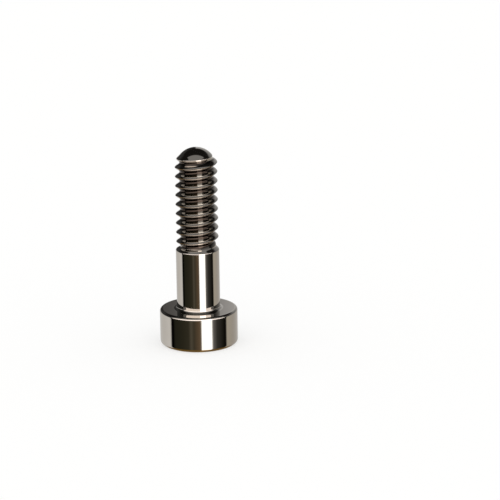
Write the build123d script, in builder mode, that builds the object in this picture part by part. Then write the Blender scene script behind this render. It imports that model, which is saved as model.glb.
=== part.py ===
"""Shoulder bolt: a turned steel bolt with a round head, a plain shoulder and a coarse thread.

It is one piece of metal, so it is one solid.  The blank is turned on its own axis, a hexagon
socket is broached into the head, and the thread is cut along a helix that starts ahead of the
domed point and runs out into the neck beside the shoulder.

Frame: +Z runs along the axis towards the thread, and the origin is the centre of the head's
flat end face, on which the bolt stands.  Sizes are in millimetres.
"""

from build123d import *

import os
from math import atan, cos, degrees, radians, tan

# ---- head -------------------------------------------------------------------------------------
head_diameter = 8.7
head_height = 4.0
head_end_edge = 0.40  # radius of the edge round the end face
head_seat_edge = 0.30  # radius of the edge round the bearing face
underhead_fillet = 0.30  # radius between the bearing face and the shoulder

# ---- hexagon socket, broached over a drilled hole ---------------------------------------------
socket_across_flats = 3.97
socket_depth = 2.1
socket_lead_in = 0.15  # how far the mouth's chamfer stands outside the hexagon's corners
drill_point_angle = 118.0

# ---- shoulder ---------------------------------------------------------------------------------
shoulder_diameter = 4.83
shoulder_length = 6.8
bevel_angle = 45.0  # of the cone from the shoulder down to the neck, measured from the axis

# ---- neck between the shoulder and the thread -------------------------------------------------
neck_step = 0.32  # how far the neck lies below the thread's crests
neck_length = 0.25

# ---- thread, 24 turns to the inch -------------------------------------------------------------
thread_diameter = 4.80
thread_pitch = 25.4 / 24
thread_length = 11.6  # from the shoulder's edge to the tip, neck and point included
flank_angle = 60.0
crest_share = 1 / 8  # width of the crest flat, as a share of the pitch
root_share = 1 / 4  # width of the root flat, as a share of the pitch
thread_end_angle = 45.0  # of the chamfers at both ends of the thread, measured from the axis
runout_turns = 0.5  # turns over which the groove fades away below the neck
runout_clearance = 0.1  # how far the fading groove rises past the thread's crests
thread_turn = 155.0  # where about the axis, counted from +X, the groove leaves the bevel

# ---- domed point ------------------------------------------------------------------------------
dome_height = 0.86
point_clearance = 0.03  # how far the dome's edge lies below the thread's root

# ---- worked out from the sizes above ----------------------------------------------------------
head_radius = head_diameter / 2
shoulder_radius = shoulder_diameter / 2
thread_radius = thread_diameter / 2
flank_slope = tan(radians(flank_angle / 2))
thread_depth = (1 - crest_share - root_share) * thread_pitch / 2 / flank_slope
root_radius = thread_radius - thread_depth
neck_radius = thread_radius - neck_step
point_radius = root_radius - point_clearance

shoulder_top = head_height + shoulder_length
bevel_top = shoulder_top + (shoulder_radius - neck_radius) / tan(radians(bevel_angle))
neck_top = bevel_top + neck_length
end_slope = tan(radians(thread_end_angle))
thread_start = neck_top + (thread_radius - neck_radius) / end_slope
bolt_top = shoulder_top + thread_length
dome_base = bolt_top - dome_height
thread_end = dome_base - (thread_radius - point_radius) / end_slope

# The cutter has the groove's own section, carried on outwards past the blank's skin by half of
# what would make its neighbouring turns meet.  It sets out from the foot of the bevel.
cutter_overlap = crest_share * thread_pitch / 4 / flank_slope
cutter_from = bevel_top
cutter_to = bolt_top + thread_pitch
runout_length = runout_turns * thread_pitch
runout_slope = (thread_depth + runout_clearance) / runout_length


def same(value, wanted):
    """Whether two sizes agree, as when an edge is picked by its radius or height."""
    return abs(value - wanted) < 1e-6


def ring(part, radius, height):
    """The circular edge of that radius at that height on the axis."""
    circles = part.edges().filter_by(GeomType.CIRCLE)
    return circles.filter_by(lambda e: same(e.radius, radius) and same(e.arc_center.Z, height))


with BuildPart() as shoulder_bolt:
    # The turned blank: head, shoulder, neck, thread diameter and domed point, in one revolve.
    with BuildSketch(Plane.XZ):
        with BuildLine():
            Polyline(
                (0, bolt_top),
                (0, 0),
                (head_radius, 0),
                (head_radius, head_height),
                (shoulder_radius, head_height),
                (shoulder_radius, shoulder_top),
                (neck_radius, bevel_top),
                (neck_radius, neck_top),
                (thread_radius, thread_start),
                (thread_radius, thread_end),
                (point_radius, dome_base),
            )
            TangentArc((0, bolt_top), (point_radius, dome_base), tangent=(1, 0))
        make_face()
    revolve(axis=Axis.Z)

    # Edges of the head, and the fillet that carries the shoulder into the bearing face.
    fillet(ring(shoulder_bolt, head_radius, 0), head_end_edge)
    fillet(ring(shoulder_bolt, head_radius, head_height), head_seat_edge)
    fillet(ring(shoulder_bolt, shoulder_radius, head_height), underhead_fillet)

    # The socket: a hexagon with the cone of the drill at its bottom and a chamfered mouth.
    with BuildSketch(Plane.XY):
        RegularPolygon(socket_across_flats / 2, 6, major_radius=False, rotation=-thread_turn)
    extrude(amount=socket_depth, mode=Mode.SUBTRACT)
    drill_radius = socket_across_flats / 2
    drill_cone = drill_radius / tan(radians(drill_point_angle / 2))
    with Locations((0, 0, socket_depth)):
        Cone(
            drill_radius,
            0,
            drill_cone,
            align=(Align.CENTER, Align.CENTER, Align.MIN),
            mode=Mode.SUBTRACT,
        )
    mouth_radius = socket_across_flats / 2 / cos(radians(30)) + socket_lead_in
    with Locations((0, 0, 0)):
        Cone(
            mouth_radius,
            0,
            mouth_radius,
            align=(Align.CENTER, Align.CENTER, Align.MIN),
            mode=Mode.SUBTRACT,
        )

    # The thread's groove: its section swept along the helix, up and off the end of the point.
    half_root = root_share * thread_pitch / 2
    half_mouth = half_root + (thread_depth + cutter_overlap) * flank_slope
    mouth = thread_radius + cutter_overlap
    with BuildLine(mode=Mode.PRIVATE) as lead:
        Helix(thread_pitch, cutter_to - cutter_from, thread_radius, center=(0, 0, cutter_from))
    with BuildSketch(Plane.XZ, mode=Mode.PRIVATE) as groove:
        with BuildLine():
            Polyline(
                (root_radius, cutter_from - half_root),
                (root_radius, cutter_from + half_root),
                (mouth, cutter_from + half_mouth),
                (mouth, cutter_from - half_mouth),
                close=True,
            )
        make_face()
    cutter = sweep(groove.sketch, path=lead.line, is_frenet=True, mode=Mode.PRIVATE)
    add(cutter, mode=Mode.SUBTRACT)

    # The run-out: the same section goes on down a widening helix until it has left the metal.
    with BuildLine(mode=Mode.PRIVATE) as widening:
        Helix(
            thread_pitch,
            runout_length,
            thread_radius,
            center=(0, 0, cutter_from),
            direction=(0, 0, -1),
            cone_angle=degrees(atan(runout_slope)),
        )
    tail = widening.line.rotate(Axis.Z, 180)
    fade = sweep(groove.sketch, path=tail, is_frenet=True, mode=Mode.PRIVATE)
    add(fade, mode=Mode.SUBTRACT)

# The thread was started at +X, so the finished bolt is turned to bring its start to its place.
bolt = shoulder_bolt.part.rotate(Axis.Z, thread_turn)
bolt.label = "shoulder_bolt"
os.makedirs("parts", exist_ok=True)
export_step(bolt, "parts/shoulder_bolt.step")
print("volume", round(bolt.volume, 2), "solids", len(bolt.solids()))
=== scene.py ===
"""A polished shoulder bolt standing on its head on a white sweep.  Sizes are in mm."""

from math import asin, cos, floor, pi, radians, sin, tan

import bpy
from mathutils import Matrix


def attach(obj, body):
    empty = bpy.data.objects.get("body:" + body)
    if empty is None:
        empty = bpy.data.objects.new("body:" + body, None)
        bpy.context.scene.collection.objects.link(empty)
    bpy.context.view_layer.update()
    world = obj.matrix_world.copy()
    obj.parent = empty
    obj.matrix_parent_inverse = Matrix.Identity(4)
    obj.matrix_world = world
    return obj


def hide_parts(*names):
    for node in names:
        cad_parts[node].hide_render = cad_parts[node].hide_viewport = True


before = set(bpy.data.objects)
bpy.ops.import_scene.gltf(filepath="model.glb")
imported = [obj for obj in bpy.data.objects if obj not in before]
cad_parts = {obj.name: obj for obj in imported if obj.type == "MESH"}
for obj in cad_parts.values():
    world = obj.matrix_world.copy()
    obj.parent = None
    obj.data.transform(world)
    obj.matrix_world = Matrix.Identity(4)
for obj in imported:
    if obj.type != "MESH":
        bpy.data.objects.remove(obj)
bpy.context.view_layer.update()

# ---- The bolt ---------------------------------------------------------------------------------
# One turned, threaded and polished piece of steel: a grid wrapped once round the axis, with rows
# from the domed tip over thread, shoulder and head into the hexagon socket.  The thread's rows
# climb with the helix, so that its edges stay clean.
head_radius, head_height, end_edge, seat_edge = 4.35, 4.0, 0.40, 0.30
shoulder_radius, shoulder_top, head_fillet = 2.415, 10.8, 0.30
neck_radius, neck_length = 2.08, 0.25
crest_radius, root_radius, pitch = 2.40, 1.8272, 25.4 / 24
point_radius, dome_height, bolt_top = 1.7972, 0.86, 22.4
flat_half, socket_depth, mouth_radius = 1.985, 2.1, 2.442
thread_turn = radians(155)
flank = tan(radians(30))
neck_foot = shoulder_top + (shoulder_radius - neck_radius)
dome_base = bolt_top - dome_height
fade = (crest_radius - root_radius + 0.1) / (pitch / 2)
foot_lift, clear_of_metal = 1.8, 9
root_blend, crest_blend, edge_blend, dome_blend = 0.30, 0.32, 0.05, 0.06


def softly(a, b, k):
    """The smaller of two radii, with the corner between them rounded over about k."""
    h = max(k - abs(a - b), 0) / k
    return min(a, b) - h * h * k / 4


def blank(z):
    """Radius of the turned blank at a height between the shoulder and the dome."""
    bevel = softly(shoulder_radius, shoulder_radius + shoulder_top - z, edge_blend)
    up = neck_radius + z - neck_foot - neck_length
    side = softly(crest_radius, point_radius + dome_base - z, dome_blend)
    if z < neck_foot + neck_length / 2:
        return -softly(-bevel, -neck_radius, edge_blend)
    return softly(-softly(-up, -neck_radius, edge_blend), side, edge_blend)


def threaded(turn, z):
    """Radius at a height and angle, the angle counted from where the groove starts."""
    along = (z - neck_foot) / pitch - turn / (2 * pi)
    which = floor(along + 0.5)
    off = abs(along - which) * pitch
    lift = 0
    if which == -1:
        lift = fade * (1 - turn / (2 * pi)) * pitch
    elif which < -1:
        lift = clear_of_metal
    wall = root_radius + (off - pitch / 8) / flank
    lift += foot_lift * max(neck_foot - z, 0)
    groove = -softly(-wall, -root_radius, root_blend) + lift
    return softly(blank(z), groove, crest_blend)


rows = []
dome_ball = (point_radius**2 + dome_height**2) / (2 * dome_height)
dome_reach = asin(point_radius / dome_ball)
for k in range(21):
    reach = dome_reach * k / 20
    rows.append(("ring", dome_ball * sin(reach), bolt_top - dome_ball * (1 - cos(reach))))

per_turn = 30
grid_foot = shoulder_top - 0.5
climbing = int((dome_base - grid_foot + pitch) * per_turn / pitch) + 2
for k in range(1, climbing):
    rows.append(("helix", dome_base - k * pitch / per_turn, 0))

for z in (9.0, 7.0, 5.5, 4.6, 4.36):
    rows.append(("ring", shoulder_radius, z))
for k in range(13):
    bend = pi / 2 * k / 12
    r = shoulder_radius + head_fillet - head_fillet * cos(bend)
    rows.append(("ring", r, head_height + head_fillet * (1 - sin(bend))))
for r in (2.76, 3.0, 3.5, 3.95, 4.02):
    rows.append(("ring", r, head_height))
for k in range(11):
    bend = pi / 2 * k / 10
    corner = head_radius - seat_edge
    rows.append(("ring", corner + seat_edge * sin(bend), head_height - seat_edge * (1 - cos(bend))))
for z in (3.65, 3.0, 2.0, 1.0, 0.46):
    rows.append(("ring", head_radius, z))
for k in range(13):
    bend = pi / 2 * k / 12
    corner = head_radius - end_edge
    rows.append(("ring", corner + end_edge * cos(bend), end_edge * (1 - sin(bend))))
for r in (3.9, 3.2, 2.6, 2.48, mouth_radius):
    rows.append(("ring", r, 0))
for z in (0.5, 1.0):
    rows.append(("mouth", 0, z))
for z in (0.55, 1.3, 2.04, socket_depth):
    rows.append(("wall", 0, z))
rows.append(("ring", flat_half, socket_depth))
drill_cone = flat_half / tan(radians(59))
for share in (0.98, 0.6, 0.2, 0):
    rows.append(("ring", flat_half * share, socket_depth + drill_cone * (1 - share)))

around = 144
bpy.ops.object.select_all(action="DESELECT")
bpy.ops.mesh.primitive_grid_add(x_subdivisions=around, y_subdivisions=len(rows) - 1, size=1)
bolt = bpy.context.object
bolt.name = "bolt"
places = []
for kind, first, second in rows:
    for k in range(around + 1):
        turn = 2 * pi * k / around
        angle = thread_turn + turn
        face = (angle + pi / 6) % (pi / 3) - pi / 6
        corner = flat_half / cos(pi / 6 - abs(face))
        r, z = first, second
        if kind == "helix":
            z = min(max(first + pitch * turn / (2 * pi), grid_foot), dome_base)
            r = threaded(turn, z) if z < dome_base else point_radius
            if z <= grid_foot:
                r = shoulder_radius
        elif kind == "mouth":
            r = mouth_radius + (corner - mouth_radius) * second
            z = mouth_radius - r
        elif kind == "wall":
            r = corner
        if k == around:
            angle = thread_turn
        places += (r * cos(angle) / 1000, r * sin(angle) / 1000, z / 1000)
bolt.data.vertices.foreach_set("co", places)
bolt.data.update()
bpy.ops.object.mode_set(mode="EDIT")
bpy.ops.mesh.select_all(action="SELECT")
bpy.ops.mesh.remove_doubles(threshold=1e-7)
bpy.ops.mesh.dissolve_degenerate(threshold=1e-8)
bpy.ops.mesh.normals_make_consistent(inside=False)
bpy.ops.object.mode_set(mode="OBJECT")
bpy.ops.object.shade_smooth_by_angle(angle=radians(38))
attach(bolt, "root")
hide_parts("shoulder_bolt")

# Painted shade: between the shoulder and the dome, the base colour darkens to near black towards
# the thread's roots, from radius 2.16 mm to 1.88 mm. It paints the shade that falls deep in the
# grooves.
root_shade_starts, root_shade_full = 0.00216, 0.00188
root_shade_foot, root_shade_top = 0.01120, 0.02110
steel = bpy.data.materials.new("polished_steel")
steel.use_nodes = True
nodes, links = steel.node_tree.nodes, steel.node_tree.links
shader = nodes["Principled BSDF"]
shader.inputs["Metallic"].default_value = 1
place = nodes.new("ShaderNodeTexCoord")
turned = nodes.new("ShaderNodeMapping")
turned.inputs["Scale"].default_value = (150, 150, 9000)
links.new(place.outputs["Object"], turned.inputs["Vector"])
marks = nodes.new("ShaderNodeTexNoise")
marks.inputs["Scale"].default_value = 1
marks.inputs["Detail"].default_value = 3
links.new(turned.outputs["Vector"], marks.inputs["Vector"])
smears = nodes.new("ShaderNodeTexNoise")
smears.inputs["Scale"].default_value = 420
smears.inputs["Detail"].default_value = 5
links.new(place.outputs["Object"], smears.inputs["Vector"])
gloss = nodes.new("ShaderNodeMapRange")
gloss.inputs["From Min"].default_value = 0.35
gloss.inputs["From Max"].default_value = 0.7
gloss.inputs["To Min"].default_value = 0.02
gloss.inputs["To Max"].default_value = 0.075
links.new(smears.outputs["Fac"], gloss.inputs["Value"])
links.new(gloss.outputs["Result"], shader.inputs["Roughness"])
tint = nodes.new("ShaderNodeMix")
tint.data_type = "RGBA"
tint.inputs["A"].default_value = (0.55, 0.525, 0.49, 1)
tint.inputs["B"].default_value = (0.50, 0.47, 0.425, 1)
links.new(smears.outputs["Fac"], tint.inputs["Factor"])
inward = nodes.new("ShaderNodeVectorMath")
inward.operation = "MULTIPLY"
inward.inputs[1].default_value = (1, 1, 0)
links.new(place.outputs["Object"], inward.inputs[0])
radius = nodes.new("ShaderNodeVectorMath")
radius.operation = "LENGTH"
links.new(inward.outputs["Vector"], radius.inputs[0])
heights = nodes.new("ShaderNodeSeparateXYZ")
links.new(place.outputs["Object"], heights.inputs["Vector"])
depth = nodes.new("ShaderNodeMapRange")
depth.inputs["From Min"].default_value = root_shade_starts
depth.inputs["From Max"].default_value = root_shade_full
links.new(radius.outputs["Value"], depth.inputs["Value"])
in_thread = nodes.new("ShaderNodeMath")
in_thread.operation = "GREATER_THAN"
in_thread.inputs[1].default_value = root_shade_foot
links.new(heights.outputs["Z"], in_thread.inputs[0])
below_dome = nodes.new("ShaderNodeMath")
below_dome.operation = "LESS_THAN"
below_dome.inputs[1].default_value = root_shade_top
links.new(heights.outputs["Z"], below_dome.inputs[0])
rooted = nodes.new("ShaderNodeMath")
rooted.operation = "MULTIPLY"
links.new(in_thread.outputs["Value"], rooted.inputs[0])
links.new(below_dome.outputs["Value"], rooted.inputs[1])
painted_root_shade = nodes.new("ShaderNodeMath")
painted_root_shade.operation = "MULTIPLY"
links.new(depth.outputs["Result"], painted_root_shade.inputs[0])
links.new(rooted.outputs["Value"], painted_root_shade.inputs[1])
# The painted root shade: the steel's colour is mixed towards near black in the thread's roots.
shaded_roots = nodes.new("ShaderNodeMix")
shaded_roots.data_type = "RGBA"
shaded_roots.inputs["B"].default_value = (0.07, 0.055, 0.045, 1)
links.new(painted_root_shade.outputs["Value"], shaded_roots.inputs["Factor"])
links.new(tint.outputs["Result"], shaded_roots.inputs["A"])
links.new(shaded_roots.outputs["Result"], shader.inputs["Base Color"])
relief = nodes.new("ShaderNodeBump")
relief.inputs["Strength"].default_value = 0.04
relief.inputs["Distance"].default_value = 0.00001
links.new(marks.outputs["Fac"], relief.inputs["Height"])
links.new(relief.outputs["Normal"], shader.inputs["Normal"])
bolt.data.materials.clear()
bolt.data.materials.append(steel)

# ---- The sweep --------------------------------------------------------------------------------
# Seamless white paper, the floor the bolt stands on.  It glows a little, to match the white behind
# it, and is hidden from the steel, which sees the room below in its place.
bpy.ops.object.select_all(action="DESELECT")
bpy.ops.mesh.primitive_grid_add(x_subdivisions=4, y_subdivisions=4, size=3)
sweep = bpy.context.object
sweep.name = "sweep"
paper = bpy.data.materials.new("white_paper")
paper.use_nodes = True
nodes, links = paper.node_tree.nodes, paper.node_tree.links
paper_shader = nodes["Principled BSDF"]
paper_shader.inputs["Base Color"].default_value = (0.4, 0.4, 0.4, 1)
paper_shader.inputs["Roughness"].default_value = 1
paper_shader.inputs["Specular IOR Level"].default_value = 0
paper_shader.inputs["Emission Color"].default_value = (1, 1, 0.99, 1)
paper_shader.inputs["Emission Strength"].default_value = 0.6
sweep.data.materials.append(paper)
sweep.location.z = -0.00001

sweep.visible_glossy = False

# ---- The room ---------------------------------------------------------------------------------
# Only the steel sees this room: dark flags round the front, one tall strip light to the right of
# the lens, a dark ceiling, a soft light high in front and a warm glow from below.  Every other
# ray, the lens's too, gets plain white.
room = bpy.data.worlds.new("room")
bpy.context.scene.world = room
room.use_nodes = True
nodes, links = room.node_tree.nodes, room.node_tree.links
nodes.clear()
look = nodes.new("ShaderNodeTexCoord")
way = nodes.new("ShaderNodeSeparateXYZ")
links.new(look.outputs["Generated"], way.inputs["Vector"])


def sum_of(operation, *values):
    """A Math node of the room, fed by sockets or plain numbers."""
    node = nodes.new("ShaderNodeMath")
    node.operation = operation
    for slot, value in zip(node.inputs, values):
        if isinstance(value, (int, float)):
            slot.default_value = value
        else:
            links.new(value, slot)
    return node.outputs["Value"]


def round_the_bolt(stops):
    """Colours by bearing, in degrees, counted from the lens towards the right."""
    ramp = nodes.new("ShaderNodeValToRGB")
    band = ramp.color_ramp
    while len(band.elements) < len(stops):
        band.elements.new(1)
    for stop, (bearing, colour) in zip(band.elements, stops):
        stop.position = bearing / 360 + 0.5
        stop.color = (*colour, 1)
    links.new(share, ramp.inputs["Fac"])
    return ramp.outputs["Color"]


def laid_over(amount, below, above):
    """One colour over another, by an amount from 0 to 1."""
    mix = nodes.new("ShaderNodeMix")
    mix.data_type = "RGBA"
    links.new(amount, mix.inputs["Factor"])
    for name, value in (("A", below), ("B", above)):
        if isinstance(value, tuple):
            mix.inputs[name].default_value = (*value, 1)
        else:
            links.new(value, mix.inputs[name])
    return mix.outputs["Result"]


def rising(value, low, high):
    """From 0 to 1 as a value goes from low to high."""
    step = nodes.new("ShaderNodeMapRange")
    step.interpolation_type = "SMOOTHSTEP"
    step.inputs["From Min"].default_value = low
    step.inputs["From Max"].default_value = high
    links.new(value, step.inputs["Value"])
    return step.outputs["Result"]


bearing = sum_of("ARCTAN2", way.outputs["X"], sum_of("MULTIPLY", way.outputs["Y"], -1))
share = sum_of("MULTIPLY_ADD", bearing, 1 / (2 * pi), 0.5)
over_floor = round_the_bolt([
    (-180, (0.66, 0.65, 0.64)),
    (-130, (0.78, 0.76, 0.73)),
    (-98, (0.92, 0.90, 0.88)),
    (-92, (0.85, 0.83, 0.80)),
    (-88, (0, 0, 0)),
    (-82, (0, 0, 0)),
    (-74, (0.025, 0.025, 0.016)),
    (-50, (0.035, 0.032, 0.020)),
    (-30, (0.050, 0.044, 0.028)),
    (-22, (0.12, 0.104, 0.075)),
    (-14, (0.075, 0.062, 0.040)),
    (0, (0.155, 0.105, 0.062)),
    (6, (0.20, 0.145, 0.095)),
    (9, (1, 1, 1)),
    (40, (1, 1, 1)),
    (44, (0.20, 0.19, 0.18)),
    (56, (0.055, 0.052, 0.046)),
    (76, (0.018, 0.017, 0.013)),
    (88, (0, 0, 0)),
    (93, (0.60, 0.55, 0.46)),
    (120, (0.55, 0.51, 0.46)),
    (180, (0.66, 0.65, 0.64)),
])
over_horizon = round_the_bolt([
    (-180, (0.62, 0.61, 0.60)),
    (-179.2, (0.58, 0.57, 0.56)),
    (-178.8, (0.30, 0.29, 0.285)),
    (-178.4, (0.05, 0.048, 0.045)),
    (-178, (0.022, 0.02, 0.018)),
    (-150, (0.06, 0.06, 0.06)),
    (-100, (0.02, 0.02, 0.02)),
    (-60, (0.012, 0.011, 0.008)),
    (-20, (0.05, 0.038, 0.022)),
    (5, (0.22, 0.12, 0.035)),
    (9, (1, 1, 1)),
    (40, (1, 1, 1)),
    (45, (0.16, 0.09, 0.03)),
    (70, (0.03, 0.024, 0.016)),
    (100, (0.06, 0.06, 0.06)),
    (150, (0.36, 0.36, 0.36)),
    (180, (0.62, 0.61, 0.60)),
])
height = way.outputs["Z"]
walls = laid_over(rising(height, -0.03, 0.05), over_floor, over_horizon)
ceiling = laid_over(rising(height, 0.45, 0.62), walls, (0.012, 0.011, 0.010))
tilt = sum_of("ARCTAN2", height, sum_of("MULTIPLY", way.outputs["Y"], -1))
inside = sum_of(
    "SUBTRACT", rising(tilt, radians(46), radians(52)), rising(tilt, radians(84), radians(90))
)
softbox = laid_over(inside, ceiling, (0.29, 0.285, 0.28))
low = sum_of(
    "SUBTRACT", rising(tilt, radians(-3), radians(3)), rising(tilt, radians(38), radians(46))
)
ahead = sum_of("LESS_THAN", way.outputs["Y"], -0.15)
window = laid_over(sum_of("MULTIPLY", low, ahead), softbox, (2.3, 2.1, 2.0))
under = laid_over(rising(sum_of("MULTIPLY", height, -1), 0.50, 0.70), window, (0.24, 0.14, 0.035))
strip_left, strip_right = radians(9), radians(40)
strip = sum_of(
    "MULTIPLY",
    sum_of("GREATER_THAN", bearing, strip_left),
    sum_of("LESS_THAN", bearing, strip_right),
)
lamp = sum_of("MULTIPLY", strip, sum_of("LESS_THAN", height, 0.45))
seen = nodes.new("ShaderNodeBackground")
links.new(under, seen.inputs["Color"])
links.new(sum_of("MULTIPLY_ADD", lamp, 1.3, 1), seen.inputs["Strength"])
white = nodes.new("ShaderNodeBackground")
white.inputs["Color"].default_value = (1, 1, 1, 1)
rays = nodes.new("ShaderNodeLightPath")
choice = nodes.new("ShaderNodeMixShader")
output = nodes.new("ShaderNodeOutputWorld")
links.new(rays.outputs["Is Glossy Ray"], choice.inputs["Fac"])
links.new(white.outputs["Background"], choice.inputs[1])
links.new(seen.outputs["Background"], choice.inputs[2])
links.new(choice.outputs["Shader"], output.inputs["Surface"])

# ---- The camera -------------------------------------------------------------------------------
# A long lens a little above the bolt, aimed to its right so that the bolt stands left of centre.
bpy.ops.object.camera_add()
camera = bpy.context.object
rise, distance, lean = radians(15.65), 0.2815, radians(-0.793)
camera.data.lens = 182.124
camera.data.clip_start = 0.01
camera.location = (0.005839, -distance * cos(rise), 0.010574 + distance * sin(rise))
camera.rotation_euler = (pi / 2 - rise, 0, 0)
camera.rotation_euler.rotate_axis("Z", lean)
bpy.context.scene.camera = camera
bpy.context.scene.view_settings.view_transform = "Standard"
